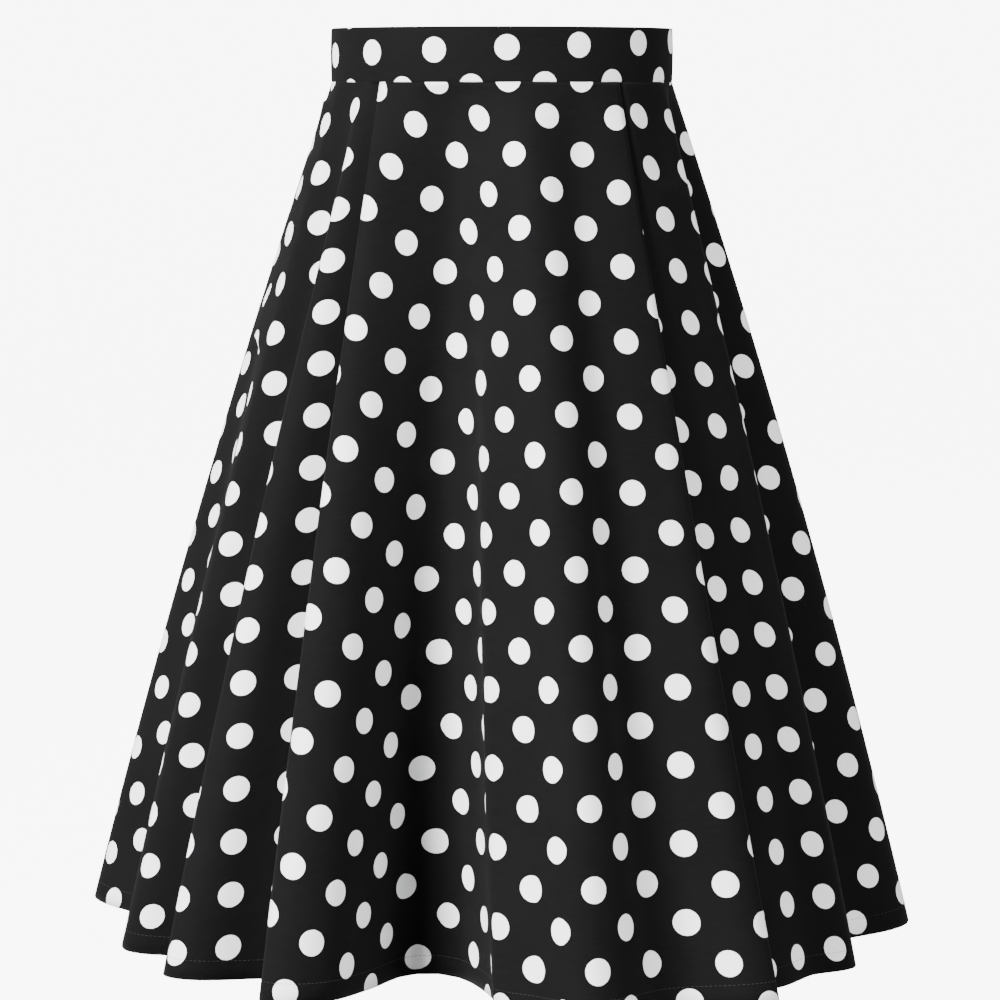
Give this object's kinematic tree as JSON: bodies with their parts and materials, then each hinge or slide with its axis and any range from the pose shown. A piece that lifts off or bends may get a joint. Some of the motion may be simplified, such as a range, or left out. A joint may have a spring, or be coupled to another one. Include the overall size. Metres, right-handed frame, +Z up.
{
  "type": "flared skirt",
  "caption": "Knee-length flared skirt with a plain fitted waistband, two front tucks, deep hanging flutes and a concealed zip at the back, dotted all over.",
  "frame": {"origin": "middle of the waist, at half the height of the waistband", "axes": "+Z up out of the waist, -Y towards the front of the skirt, +X to the right of a viewer who looks at the front"},
  "size_m": [0.6365, 0.6199, 0.6884],
  "materials": {
    "dotted_cloth": "matte woven, black with off-white dots",
    "zip_tape": "black woven tape",
    "zip_metal": "black enamel"
  },
  "bodies": {
    "skirt": {"waistband_front": "dotted_cloth", "waistband_back_left": "dotted_cloth", "waistband_back_right": "dotted_cloth", "front_centre_panel": "dotted_cloth", "front_side_panel_left": "dotted_cloth", "front_side_panel_right": "dotted_cloth", "back_panel_left": "dotted_cloth", "back_panel_right": "dotted_cloth", "zip_tape_left": "zip_tape", "zip_tape_right": "zip_tape", "zip_slider": "zip_metal"},
    "pull_tab": {"zip_pull_tab": "zip_metal"}
  },
  "joints": [
    {"name": "pull_tab_hinge", "type": "hinge", "parent": "skirt", "child": "pull_tab", "pos_m": [0, 0.1123, 0.0125], "axis": [1, 0, 0], "range_deg": [0, 100]}
  ]
}
